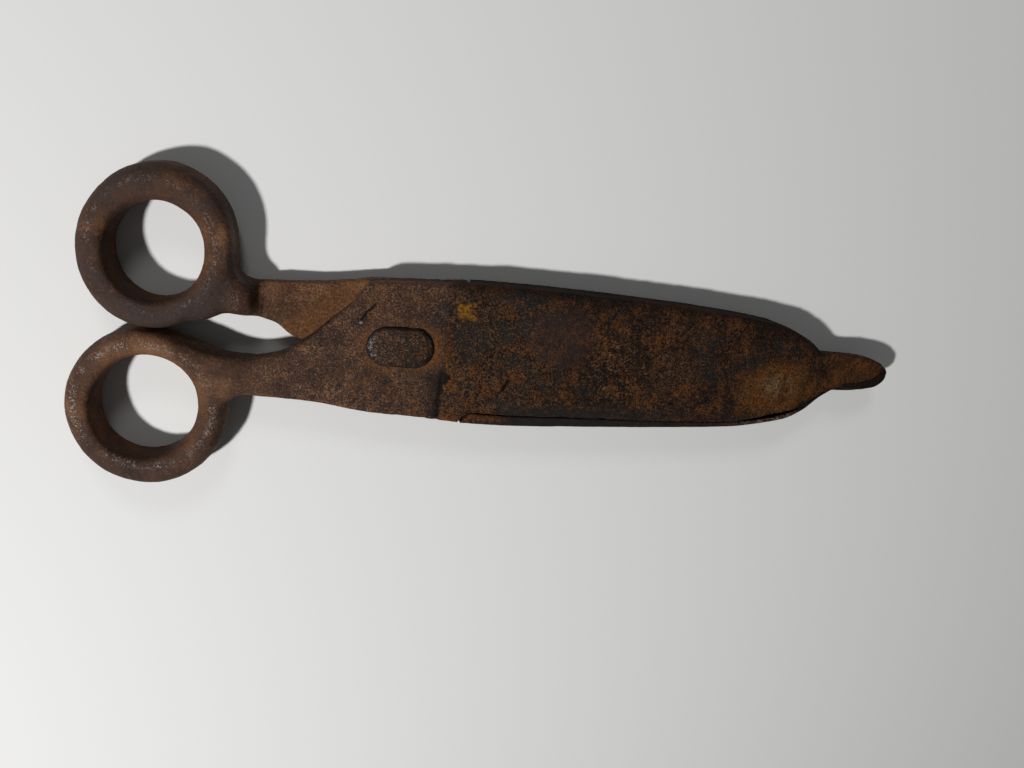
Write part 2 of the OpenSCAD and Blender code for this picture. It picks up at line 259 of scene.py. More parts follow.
def wornHeight(p, rough, calm):
    # rough is 0 on the arms and 1 on the mouth; calm is 0 where nothing may rise, such as
    # on the faces that slide on each other. Returns the height and a relief from 0 to 1.
    flat = p * [1, 1, 0.6]
    swell = wear["swell"] * clouds(flat, wear["swellSize"], 2, 3)
    dish = np.minimum(nearest(flat + 40, wear["dentSize"], 11), 0.8) ** 2
    dent = wear["dent"] * (1.6 * dish - 0.45)
    chips = ramp(clouds(p, wear["flakeSize"], 4, 21), -0.02, 0.07)
    flake = wear["flake"] * (chips - 0.7) * mix(0.2, 1, rough)
    shifted = p + np.stack([clouds(p, 2.2, 3, 5), clouds(p, 2.2, 3, 6), 0 * p[:, 0]], 1) * 1.7
    spots = nearest(shifted, wear["pitSize"], 31)
    pit = -wear["pit"] * ramp(0.42 - spots, 0, 0.36) * mix(0.2, 1, rough)
    grain = wear["grain"] * clouds(p, wear["grainSize"], 2, 41) * mix(0.45, 1, rough)
    height = (swell + dent + flake + pit + grain - 0.04) * calm
    relief = 0.5 + 2.2 * (pit + grain + 0.5 * flake + 0.02)
    return height, np.clip(relief, 0, 1)


def roughAt(p):  # 0 on the arms, 1 on the mouth
    return ramp(p[:, 0], -9, 18)


def roughen(piece, calmAt, cutNames=()):
    # moves every point along its normal by the worn height, less the cuts where the face lies
    # level, and keeps the relief for the finish
    mesh = piece.data
    p = readPoints(mesh)
    normal = readRows(mesh.vertex_normals, "vector", 3)
    height, relief = wornHeight(p, roughAt(p), calmAt(p))
    for name in cutNames:
        depth = groove(p, cuts[name]) * np.clip(np.abs(normal[:, 2]) * 1.4, 0, 1)
        height += depth
        relief = np.clip(relief + depth * 1.2, 0, 1)
    p += normal * height[:, None]
    p = np.clip(p, np.array(cadLow) / mm + wear["inset"], np.array(cadHigh) / mm - wear["inset"])
    writePoints(mesh, p * mm)
    attribute = mesh.attributes.new("relief", "FLOAT", "POINT")
    attribute.data.foreach_set("value", relief.astype(np.float32))
    mesh.polygons.foreach_set("use_smooth", np.ones(len(mesh.polygons), bool))
    mesh.update()


def placed(p, rear):
    # both halves are shaped as front ones, with the middle plane at 0; the rear one is rolled
    # over about the X axis
    return (p * [1, -1, -1] if rear else p) + [0, 0, tongs["middleZ"]]


def overMiddle(p, rear):  # height over the middle plane, towards the outer face of that half
    return tongs["middleZ"] - p[:, 2] if rear else p[:, 2] - tongs["middleZ"]


def arc(radius, cy, cz, start, turn, steps):  # part of a circle in Y and Z, in degrees
    a = np.radians(np.linspace(start, start + turn, steps))[None, :]
    return cy + radius * np.cos(a), cz + radius * np.sin(a)


def span(y0, z0, y1, z1, steps):  # points between two places in Y and Z, without the places
    u = np.linspace(0, 1, steps + 2)[None, 1:-1]
    return mix(y0, y1, u), mix(z0, z1, u)


# finger rings, necks and laps

# outline and hole are length, width and turn in degrees, shift is from the ring's centre to the
# hole's, and across is half of what the outline measures in Y. The edges are measured from the
# X axis: neckOut and neckIn at the neck, cross where the arms cross, heel and far at the seam.
# crotch is how far before the crossing the inner edge begins to turn.
frontArm = {
    "centre": (-66.1, -21.3), "outline": (41.2, 43.6, -3), "across": 21.8, "thick": 12.0,
    "hole": (25.7, 29.1, -23), "shift": (-0.2, 0.8),
    "neckOut": 16.7, "neckIn": 5.5, "crotch": 9.4, "cross": -0.7, "heel": 20.7, "far": 18.1,
    "cuts": ("weld", "slit"), "body": "front_half", "node": "front_arm",
}
rearArm = {
    "centre": (-62.0, -22.05), "outline": (38.0, 43.3, 25), "across": 21.2, "thick": 13.0,
    "hole": (22.8, 25.0, 18), "shift": (-0.2, 1.0),
    "neckOut": 14.9, "neckIn": 5.9, "crotch": 14.4, "cross": 0.7, "heel": 18.0, "far": 20.7,
    "cuts": ("backWeld",), "body": "rear_half", "node": "rear_arm",
}
armMelt = {"voxel": 0.36, "allRounds": 7, "rootRounds": 110}  # grain and rounds of smoothing


def oval(shape, round2):  # points of a turned oval, from the cosines and sines round it
    length, width, turn = shape
    a = np.radians(turn)
    x, y = round2[..., :1] * length / 2, round2[..., 1:] * width / 2
    return np.concatenate([x * np.cos(a) - y * np.sin(a), x * np.sin(a) + y * np.cos(a)], -1)


def ringSurface(arm):
    # u goes round the ring and v round its bar. A point lies half way between the outline and
    # the hole, plus a squarish section that is flatter on the hole's side than outside.
    u = np.linspace(0, 2 * np.pi, 200, endpoint=False)[:, None, None]
    v = np.linspace(0, 2 * np.pi, 72, endpoint=False)[None, :, None]
    round2 = np.concatenate([np.cos(u), np.sin(u)], -1)
    centre = np.array(arm["centre"])
    outline = centre + oval(arm["outline"], round2)
    hole = centre + arm["shift"] + oval(arm["hole"], round2)
    power = 3.1 - 0.8 * np.cos(v)
    reach = (np.abs(np.cos(v)) ** power + np.abs(np.sin(v)) ** power) ** (-1 / power)
    flat = (outline + hole) / 2 + (outline - hole) / 2 * np.cos(v) * reach
    z = arm["thick"] / 2 * np.sin(v) * reach + 0 * u
    return gridShell(np.concatenate([flat, z], -1), wrapped=True)


def onRing(arm, k, m):  # share k of half its length and m of half its measure across
    return [arm["centre"][0] + k * arm["outline"][0] / 2, arm["centre"][1] + m * arm["across"]]


def innerEdge(arm):  # from the ring past the crossing to the far side
    cross, slant = tongs["crossX"], tongs["slantX"]
    neck, crotch, far = arm["neckIn"], arm["crotch"], arm["far"]
    return [onRing(arm, 0.39, 0.87), onRing(arm, 0.53, 0.88), onRing(arm, 0.78, 0.785),
            [-cross - crotch - 6, -neck], [-cross - crotch, -neck * 0.86],
            [-cross - crotch * 0.5, -neck * 0.62], [-cross - crotch * 0.2, arm["cross"] - neck * 0.18],
            [-cross, arm["cross"]],
            [mix(-cross, -slant, 0.35), far * 0.29], [mix(-cross, -slant, 0.7), far * 0.64],
            [mix(-cross, -slant, 0.9), far * 0.92], [-slant, far - 1], [tongs["seamX"], far],
            [tongs["seamX"] + 4, far + 0.15]]


def outerEdge(arm):  # from the ring along the neck to the seam
    ringEnd, neck, heel = onRing(arm, 1, 0)[0], arm["neckOut"], arm["heel"]
    return [onRing(arm, 0.39, 0.6), onRing(arm, 0.53, 0.46), onRing(arm, 0.68, 0.13),
            onRing(arm, 0.82, 0), onRing(arm, 0.94, 0.05),
            [ringEnd + 0.5, -neck - 1.7], [ringEnd + 2.6, -neck - 0.3], [ringEnd + 7, -neck],
            [-tongs["crossX"], -neck - 0.1], [-tongs["slantX"] - 1, mix(-neck, -heel, 0.7)],
            [tongs["seamX"], -heel], [tongs["seamX"] + 4, -heel - 0.3]]


def barSurface(arm):
    # rows run along the neck and lap. A row is a bar with four round corners, and it sinks a
    # little past the seam, inside the heel of its jaw.
    seam = tongs["seamX"]
    ringEnd = onRing(arm, 1, 0)[0]
    start = onRing(arm, 0.39, 0)[0]
    x = np.linspace(start, seam + 1.6, 130)[:, None]
    sink = tongs["seamSink"] * ramp(x, seam, seam + 3.2)
    low = curve(outerEdge(arm), x) + sink
    high = curve(innerEdge(arm), x) - sink
    top = mix(arm["thick"] / 2 - 0.5, tongs["faceZ"], ramp(x, ringEnd - 8, ringEnd + 3))
    lap = ramp(x, -tongs["lapX"] - 3, -tongs["lapX"])
    bottom = mix(-top, tongs["lapZ"], lap) + sink * (x > 0)
    topR = mix(3.2, 1.2, ramp(x, -tongs["lapX"] - 4, -tongs["crossX"]))
    lowR = mix(3.2, 0.3, lap)
    crown = mix(0.5, 0.12, lap)
    across = np.linspace(0, 1, 26)[None, 1:-1]
    parts = [
        arc(lowR, low + lowR, bottom + lowR, 180, 90, 7),
        arc(lowR, high - lowR, bottom + lowR, 270, 90, 7),
        arc(topR, high - topR, top - sink - topR, 0, 90, 7),
        (mix(high - topR, low + topR, across), top - sink + crown * (4 * across * (1 - across))),
        arc(topR, low + topR, top - sink - topR, 90, 90, 7),
    ]
    y, z = (np.concatenate(side, 1) for side in zip(*parts))
    return gridShell(np.stack([x + 0 * y, y, z], -1))


def boreTool():
    # a plain round bar along Z through the rivet's axis, past both faces, to cut the hole with
    a = np.linspace(0, 2 * np.pi, 64, endpoint=False)
    circle = np.stack([tongs["boreR"] * np.cos(a), tongs["boreR"] * np.sin(a), 0 * a], -1)
    bar = gridShell(np.stack([circle + [0, 0, z] for z in (-12.0, 12.0)]))
    return newPiece("boreTool", *joinShells([bar]))


def buildArm(name, arm, finish):
    # ring and bar are melted into one skin, which is smoothed most at the ring's root
    rear = arm["body"] == "rear_half"
    piece = newPiece(name, *joinShells([ringSurface(arm), barSurface(arm)]))
    bake(piece, "REMESH", mode="VOXEL", voxel_size=armMelt["voxel"], adaptivity=0)
    p = readPoints(piece.data)
    ringEnd = onRing(arm, 1, 0)[0]
    root = ramp(p[:, 0], ringEnd - 15, ringEnd - 8) * (1 - ramp(p[:, 0], ringEnd + 3, ringEnd + 9))
    relax(piece.data, armMelt["allRounds"], np.ones(len(p)))
    relax(piece.data, armMelt["rootRounds"], root)
    cutter = boreTool()
    bake(piece, "BOOLEAN", operation="DIFFERENCE", solver="EXACT", object=cutter)
    bpy.data.objects.remove(cutter)
    writePoints(piece.data, placed(readPoints(piece.data), rear))

    def calm(p):
        # still on the sliding faces and round the bore
        local = overMiddle(p, rear)
        onLap = ramp(p[:, 0], -tongs["lapX"] - 2, -tongs["lapX"] + 1)
        keep = 1 - onLap * (1 - ramp(local, 0.5, 1.2))
        return keep * ramp(np.hypot(p[:, 0], p[:, 1]), tongs["boreR"] + 0.25, tongs["boreR"] + 1.55)

    roughen(piece, calm, arm["cuts"])
    dress(piece, arm, finish)


# the two halves of the mouth

# the mouth's outline, and each half's part of it: rim is the edge that its own rim runs along,
# other the edge of the other half's rim, and round holds the powers by which the rim's side and
# the other one draw in to the tip
upperEdge = [[11.5, 18.0], [22, 18.4], [36, 18.2], [65, 17.0], [88, 15.4], [104, 13.7], [113, 11.7],
             [120.5, 8.2], [126, 4.9], [132, 5.0], [155.8, 4.9]]
lowerEdge = [[11.5, 20.7], [22, 21.6], [32, 21.8], [50, 21.3], [68, 20.7], [99, 19.1], [111, 17.2],
             [123, 13.4], [128.5, 9.7], [133, 7.3], [155.8, 7.9]]
frontJaw = {
    "rim": upperEdge, "other": lowerEdge, "tip": 147.6, "round": (2.2, 3.6),
    "cuts": ("weld", "crack"), "body": "front_half", "node": "front_jaw",
}
rearJaw = {
    "rim": lowerEdge, "other": upperEdge, "tip": 147.8, "round": (3.0, 2.2),
    "cuts": ("backWeld",), "body": "rear_half", "node": "rear_jaw",
}
jawShape = {
    "plate": 2.2,                  # thickness of the dished plate
    "belly": 6.5, "edge": 4.7,     # heights of its crown and edges over the middle plane
    "rimReach": 4.3,               # how far the rim reaches past the middle plane
    "rimThick": 3.0, "toeRimThick": 1.3,
    "rimGap": 0.2, "toeGap": 0.9,  # from the plate's edge to the other rim, and more at the toe
    "swingGap": 0.2,               # left where that edge swings past the rim's beginning
    "tongueThick": 3.5,
    "tipShare": 0.04,              # what is left of the width at the very tip
    "rows": 345,
}


def rimWall(x):  # thickness of the rim
    thinner = ramp(x, tongs["rimX"] + 10, tongs["toeX"] - 16)
    return mix(jawShape["rimThick"], jawShape["toeRimThick"], thinner)


def rimSwing(edge):
    # half width where the rim along that edge begins, and the radius of the circle that its
    # inner corner swings on
    wide = curve(edge, np.array(tongs["rimX"]))
    return wide, np.hypot(tongs["rimX"], wide - jawShape["rimThick"])


def freeEdge(edge, x):
    # the plate's edge lies inside the other jaw's rim, and steps out to the full width in a
    # notch where it would strike the beginning of that rim
    gap = jawShape["rimGap"]
    wide, swing = rimSwing(edge)
    swing = swing - jawShape["swingGap"]
    begin = np.sqrt(swing ** 2 - wide ** 2)
    end = min(tongs["rimX"] - 0.1, np.sqrt(swing ** 2 - (wide - jawShape["rimThick"] - gap) ** 2))
    u = np.sin(np.pi / 2 * np.clip((x - begin) / (end - begin), 0, 1))
    atToe = ramp(x, tongs["toeX"] - 30, tongs["toeX"] - 16) - ramp(x, tongs["toeX"] + 2, tongs["toeX"] + 8)
    return curve(edge, x) - (rimWall(x) + gap) * u - jawShape["toeGap"] * atToe


def jawSurface(jaw):
    # rows run from the heel to the tip. A row goes round the section: dished inside, fillet,
    # rim, outer wall, domed face and free edge, with round corners. Near the tip each side
    # draws in as the root of one minus a power of the way along.
    s = jawShape
    seam, toeX, rimX, tip = tongs["seamX"], tongs["toeX"], tongs["rimX"], jaw["tip"]
    way = np.linspace(0, 1, s["rows"])
    x = mix(seam - 1.8, tip, way * (1.12 - 0.12 * way ** 6))[:, None]
    x[-1] = tip
    t = np.clip((x - toeX - 3) / (tip - toeX - 3), 0, 1)
    share, lowShare = (np.maximum(np.sqrt(1 - t ** power), s["tipShare"]) for power in jaw["round"])
    high0, low0 = curve(jaw["rim"], x), -freeEdge(jaw["other"], x)
    middle = (high0 + low0) / 2
    sink = tongs["seamSink"] * (1 - ramp(x, seam - 3.4, seam))
    high = middle + (high0 - middle) * share - sink
    low = middle + (low0 - middle) * lowShare + sink
    toe = ramp(x, toeX - 16, toeX + 2)
    heel = 1 - ramp(x, seam + 6, rimX + 6)
    edge = mix(mix(s["edge"], tongs["faceZ"], heel), s["tongueThick"] + tongs["lapZ"], toe) - sink
    belly = (s["belly"] - s["edge"]) * ramp(x, seam + 3, rimX + 20) * (1 - ramp(x, toeX - 32, toeX - 4))
    solid = np.maximum(heel, toe)
    thick = mix(s["plate"], edge - tongs["lapZ"] - sink, solid)
    # the rim begins as a wedge along the circle that the other jaw's edge swings on
    wide, swing = rimSwing(jaw["rim"])
    wedge = curve(jaw["rim"], x) - np.sqrt(np.maximum(swing ** 2 - x ** 2, 0))
    wall = np.minimum(rimWall(x), (high - low) * 0.3)
    wall = np.where(x < rimX, np.clip(wedge, 0.05, wall), wall)
    begin = np.sqrt(swing ** 2 - wide ** 2)
    reach = (1 - ramp(x, toeX - 13, toeX + 4)) * ramp(x, begin, begin + 0.5)

    def crown(y):  # 1 along the middle of the plate, 0 at its edges
        return 1 - np.abs(np.clip(2 * (y - low) / (high - low) - 1, -1, 1)) ** 3.2

    def outer(y):  # height of the outer face
        return edge + belly * crown(y)

    def inner(y):  # height of the inner face, never past the lap's
        return np.maximum(tongs["lapZ"] + sink, edge + belly * (1 - solid) * crown(y) - thick)

    width = high - low
    topR = np.minimum(mix(1.7, 1.2, heel), width * 0.3) * mix(1, 0.6, toe)
    lowR = np.minimum(mix(0.55, 1.2, heel), width * 0.2)
    footR = np.minimum(0.5, width * 0.1)
    fillet = 1.5 * reach + 0.001
    innerSide = high - wall
    ceiling = inner(innerSide - fillet)
    rimZ = mix(inner(innerSide), -s["rimReach"], reach)
    lipR = np.minimum(wall * 0.2, np.maximum((ceiling - rimZ) * 0.4, 0.001))
    footOutR = mix(0.35, np.minimum(wall * 0.3, 0.6), reach) * np.minimum(1, width / 3)
    topEdge, lowEdge, foot = outer(high - topR), outer(low + lowR), inner(low + footR)
    u = np.linspace(0, 1, 60)[None, :]
    v = np.linspace(0, 1, 98)[None, 1:-1]
    inY, topY = mix(low + footR, innerSide - fillet, u), mix(high - topR, low + lowR, v)
    parts = [
        (inY, inner(inY)),
        arc(fillet, innerSide - fillet, ceiling - fillet, 75, -75, 5),
        span(innerSide, ceiling - fillet, innerSide, rimZ + lipR, 9),
        arc(lipR, innerSide + lipR, rimZ + lipR, 180, 90, 5),
        arc(footOutR, high - footOutR, rimZ + footOutR, 270, 90, 6),
        span(high, rimZ + footOutR, high, topEdge - topR, 16),
        arc(topR, high - topR, topEdge - topR, 0, 90, 8),
        (topY, outer(topY)),
        arc(lowR, low + lowR, lowEdge - lowR, 90, 90, 7),
        span(low, lowEdge - lowR, low, foot + footR, 5),
        arc(footR, low + footR, foot + footR, 180, 75, 4),
    ]
    y, z = (np.concatenate(side, 1) for side in zip(*parts))
    # the tongue grows thinner towards its tip, about the middle of its thickness
    slim = mix(1, share, ramp(x, toeX + 6, tip) * 0.75)
    half = tongs["lapZ"] + s["tongueThick"] * 0.5
    z = np.where(x > toeX + 3, half + (z - half) * slim, z)
    return gridShell(np.stack([x + 0 * y, y, z], -1))


def buildJaw(name, jaw, finish):
    rear = jaw["body"] == "rear_half"
    co, faces = joinShells([jawSurface(jaw)])
    piece = newPiece(name, placed(co, rear), faces)

    def calm(p):
        # still on the faces of the tongues and the heel, which meet the other half, and calmer
        # beside the rims and on the tongues
        local = overMiddle(p, rear)
        meets = 1 - ramp(p[:, 0], 17, 24) * (1 - ramp(p[:, 0], tongs["toeX"] - 12, tongs["toeX"] - 2))
        inGap = ramp(np.abs(p[:, 1]), 12, 15) * (1 - ramp(local, 2.0, 3.4))
        tongue = ramp(p[:, 0], tongs["toeX"] - 10, tongs["toeX"])
        return (1 - meets * (1 - ramp(local, 0.5, 1.2))) * (1 - 0.75 * inGap) * mix(1, 0.55, tongue)

    roughen(piece, calm, jaw["cuts"])
    dress(piece, jaw, finish)


# the rivet

rivet = {
    "headLength": 18.4, "headWidth": 11.4, "headRise": 1.68,
    "nick": (2.6, 4.6), "nickDepth": 0.25,  # dent at the head's upper edge,
    "nickAngle": 1.13, "nickShare": 0.045,  # and how the outline is pushed in there
    "shank": 4.0, "tail": 6.5,              # radii
    "tailGap": 0.3,                         # from the rear arm to the tail
    "body": "front_half", "node": "pivot_rivet",
}


def rivetSurface():
    # rows go from the middle of the head out over its edge, in along its underside, down the
    # shank and round the flat tail. A row is a share of the head's oblong outline or a circle.
    angle = np.linspace(0, 2 * np.pi, 220, endpoint=False)[None, :]
    c, s = np.cos(angle), np.sin(angle)
    r = rivet["headWidth"] / 2
    straight = rivet["headLength"] / 2 - r
    toSide = r / np.maximum(np.abs(s), 1e-6)
    toEnd = straight * np.abs(c) + np.sqrt(np.maximum(r * r - (straight * s) ** 2, 0))
    oblong = np.where(toSide * np.abs(c) < straight, toSide, toEnd)
    pushed = rivet["nickShare"] * np.exp(-((angle - rivet["nickAngle"]) / 0.16) ** 2)
    oblong = oblong * (1 - pushed - 0.012 * np.sin(3 * angle + 1))  # a little out of true all round
    top = tongs["middleZ"] + tongs["faceZ"]
    rho = np.sin(np.linspace(0.02, np.pi / 2, 46))[:, None]
    x, y = rho * oblong * c, rho * oblong * s
    sag = 1 - 0.22 * (x / (rivet["headLength"] / 2)) ** 2
    sag = sag * (1 - 0.35 * ramp(-y, 1, 5.5))
    dentX, dentY = rivet["nick"]
    dip = rivet["nickDepth"] * np.exp(-((x - dentX) / 1.5) ** 2 - ((y - dentY) / 1.3) ** 2)
    head = top + rivet["headRise"] * (1 - rho ** 6) ** 0.55 * sag - dip
    rows = [np.stack([x, y, head], -1)]
    back = tongs["middleZ"] - tongs["faceZ"] - rivet["tailGap"]
    shank, tail = rivet["shank"], rivet["tail"]
    below = [(oblong, top - 0.15), (oblong * (2 / 3), top - 0.18), (shank, top - 0.2)]
    below += [(shank, z) for z in np.linspace(top - 1, back + rivet["tailGap"], 20)]
    below += [(shank, back), (tail - 0.6, back), (tail - 0.1, back - 0.12), (tail, back * 0.7),
              (tail - 0.25, back * 0.35), (tail - 0.8, back * 0.12), (tail - 1.5, 0.02),
              (tail - 2.6, 0.0), (2.0, 0.0), (0.2, 0.0)]
    for reach, z in below:
        rows.append(np.stack([reach * c, reach * s, z + 0 * angle], -1))
    return gridShell(np.concatenate(rows, 0))


def buildRivet(finish):
    piece = newPiece("rivet", *joinShells([rivetSurface()]))

    def calm(p):  # only the head is worn
        top = tongs["middleZ"] + tongs["faceZ"]
        return ramp(p[:, 2], top, top + 0.5)

    roughen(piece, calm)
    dress(piece, rivet, finish)


def dress(piece, part, finish):
    # the piece takes its finish, rides on its part's CAD body and stands for its CAD node
    piece.data.materials.clear()
    piece.data.materials.append(finish)
    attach(piece, part["body"])
    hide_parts(part["node"])
    print("made", piece.name, len(piece.data.polygons), "faces")


# finishes

class Wire:  # an output of a material's nodes: sums with it add Math nodes
    def __init__(self, tree, socket=None):
        self.tree = tree
        self.socket = socket

    def node(self, kind, settings=None, sockets=None, out=0):  # any node at all
        made = self.tree.nodes.new(kind)
        for key, value in (settings or {}).items():
            setattr(made, key, value)
        for key, value in (sockets or {}).items():
            if isinstance(value, Wire):
                self.tree.links.new(value.socket, made.inputs[key])
            else:
                made.inputs[key].default_value = value
        return Wire(self.tree, made.outputs[out] if len(made.outputs) else None)

    def output(self, n):  # another output of the same node
        return Wire(self.tree, self.socket.node.outputs[n])

    def sum(self, operation, a, b, clamped=False):  # one Math node
        return self.node("ShaderNodeMath", {"operation": operation, "use_clamp": clamped}, {0: a, 1: b})

    def __add__(self, other):
        return self.sum("ADD", self, other)

    def __radd__(self, other):
        return self.sum("ADD", other, self)

    def __sub__(self, other):
        return self.sum("SUBTRACT", self, other)

    def __rsub__(self, other):
        return self.sum("SUBTRACT", other, self)

    def __mul__(self, other):
        return self.sum("MULTIPLY", self, other)

    def __rmul__(self, other):
        return self.sum("MULTIPLY", other, self)

    def __truediv__(self, other):
        return self.sum("DIVIDE", self, other)

    def __rtruediv__(self, other):
        return self.sum("DIVIDE", other, self)

    def __pow__(self, other):
        return self.sum("POWER", self, other)

    def size(self):  # without its sign
        return self.sum("ABSOLUTE", self, 0.0)

    def most(self, other):  # the larger of two
        return self.sum("MAXIMUM", self, other)

    def over(self, a, b):  # smooth step from 0 at a to 1 at b
        return self.node("ShaderNodeMapRange", {"interpolation_type": "SMOOTHSTEP"}, {0: self, 1: a, 2: b})

    def part(self, a, b):  # even step from 0 at a to 1 at b
        return self.node("ShaderNodeMapRange", {"interpolation_type": "LINEAR"}, {0: self, 1: a, 2: b})

    def tint(self, base, colour):  # this much of the colour over the base
        return self.node("ShaderNodeMix", {"data_type": "RGBA"}, {0: self, 6: base, 7: colour}, out=2)


class Spot:  # where a layer of rust looks up its place, in millimetres, and the noise there
    def __init__(self, wire, move):
        where = wire.node("ShaderNodeTexCoord", out=3)
        self.place = wire.node("ShaderNodeVectorMath", {"operation": "SCALE"}, {0: where, 3: 1000.0})
        self.x = self.place.node("ShaderNodeSeparateXYZ", sockets={0: self.place})
        self.y, self.z = self.x.output(1), self.x.output(2)
        self.front = self.z.over(tongs["middleZ"], tongs["middleZ"] + 2.5)
        self.rough = self.x.over(-20, 27)      # 0 on the arms, 1 on the mouth
        self.broad = self.noise(24, 3, 0.5, move)
        self.patch = self.noise(6.5, 5, 0.62, move + 31)
        self.hue = self.noise(5.0, 4, 0.68, move + 151)
        self.fine = self.noise(1.5, 4, 0.75, move + 67)
        self.dust = self.noise(0.5, 2, 0.8, move + 103)
        self.relief = self.x.node("ShaderNodeAttribute", {"attribute_name": "relief"}, out=2)

    def moved(self, by):
        sockets = {0: self.place, 1: (by, by, by)}
        return self.place.node("ShaderNodeVectorMath", {"operation": "ADD"}, sockets)

    def noise(self, size, detail, rough, move):  # clouds from 0 to 1 with features of that size
        sockets = {"Vector": self.moved(move), "Scale": 1 / size, "Detail": detail, "Roughness": rough}
        return self.place.node("ShaderNodeTexNoise", sockets=sockets)

    def cells(self, size, move):  # distance from the joints between crumbs of that size
        sockets = {"Vector": self.moved(move), "Scale": 1 / size}
        return self.place.node("ShaderNodeTexVoronoi", {"feature": "DISTANCE_TO_EDGE"}, sockets)

    def uneven(self, distance, reach, soft, shake):
        # 1 below that distance and 0 above it, with a border that the noise moves in and out
        shaken = distance + ((self.fine - 0.5) * 2.0 + (self.patch - 0.5) * 1.5 + (self.dust - 0.5)) * shake
        return shaken.over(reach + soft, reach - soft)

    def blot(self, cx, cy, rx, ry, soft=0.5, shake=0.7):  # 1 inside an uneven ellipse, 0 outside
        away = ((self.x - cx) / rx) ** 2.0 + ((self.y - cy) / ry) ** 2.0
        return self.uneven(away, 1, soft, shake)

    def stroke(self, a, b, half, soft=0.4, shake=0.6):
        # 1 within that distance of the line from a to b, 0 outside: the way along the line is
        # cut off at its ends, and what is left of the place is the distance
        dx, dy = b[0] - a[0], b[1] - a[1]
        along = ((self.x - a[0]) * dx + (self.y - a[1]) * dy) / (dx * dx + dy * dy)
        way = along.sum("ADD", along, 0.0, clamped=True)
        away = ((self.x - way * dx - a[0]) ** 2.0 + (self.y - way * dy - a[1]) ** 2.0) ** 0.5
        return self.uneven(away, half, soft, shake)


def largest(masks):  # the largest of them at every place
    result = masks[0]
    for mask in masks[1:]:
        result = result.most(mask)
    return result


# colours of the rust, and black for painted shade, white and grey for painted highlights on bare metal
rustAndPaintedLightColours = {
    "armDark": (0.0105, 0.0070, 0.0060, 1), "armBrown": (0.0640, 0.0300, 0.0165, 1),
    "armLight": (0.216, 0.105, 0.051, 1), "ring": (0.047, 0.0295, 0.0245, 1),
    "mouthDark": (0.0022, 0.0018, 0.0018, 1), "mouthBrown": (0.0225, 0.0105, 0.0056, 1),
    "mouthLight": (0.117, 0.060, 0.031, 1), "paintedShadeBlack": (0.0035, 0.0028, 0.0026, 1),
    "plum": (0.033, 0.0185, 0.0150, 1), "slate": (0.0120, 0.0118, 0.0112, 1),
    "rust": (0.112, 0.040, 0.0105, 1), "orange": (0.165, 0.058, 0.0105, 1),
    "ochre": (0.150, 0.059, 0.0135, 1), "mark": (0.225, 0.100, 0.0115, 1),
    "bareSheenGrey": (0.230, 0.200, 0.180, 1), "pale": (0.200, 0.148, 0.090, 1), "glintWhite": (0.26, 0.29, 0.33, 1),
}


def threeTones(tone, low, high, place):  # from dark through brown, at a tone of 0.5, to light
    dark, brown, light = (rustAndPaintedLightColours[place + shade] for shade in ("Dark", "Brown", "Light"))
    return tone.part(0.5, high).tint(tone.part(low, 0.5).tint(dark, brown), light)


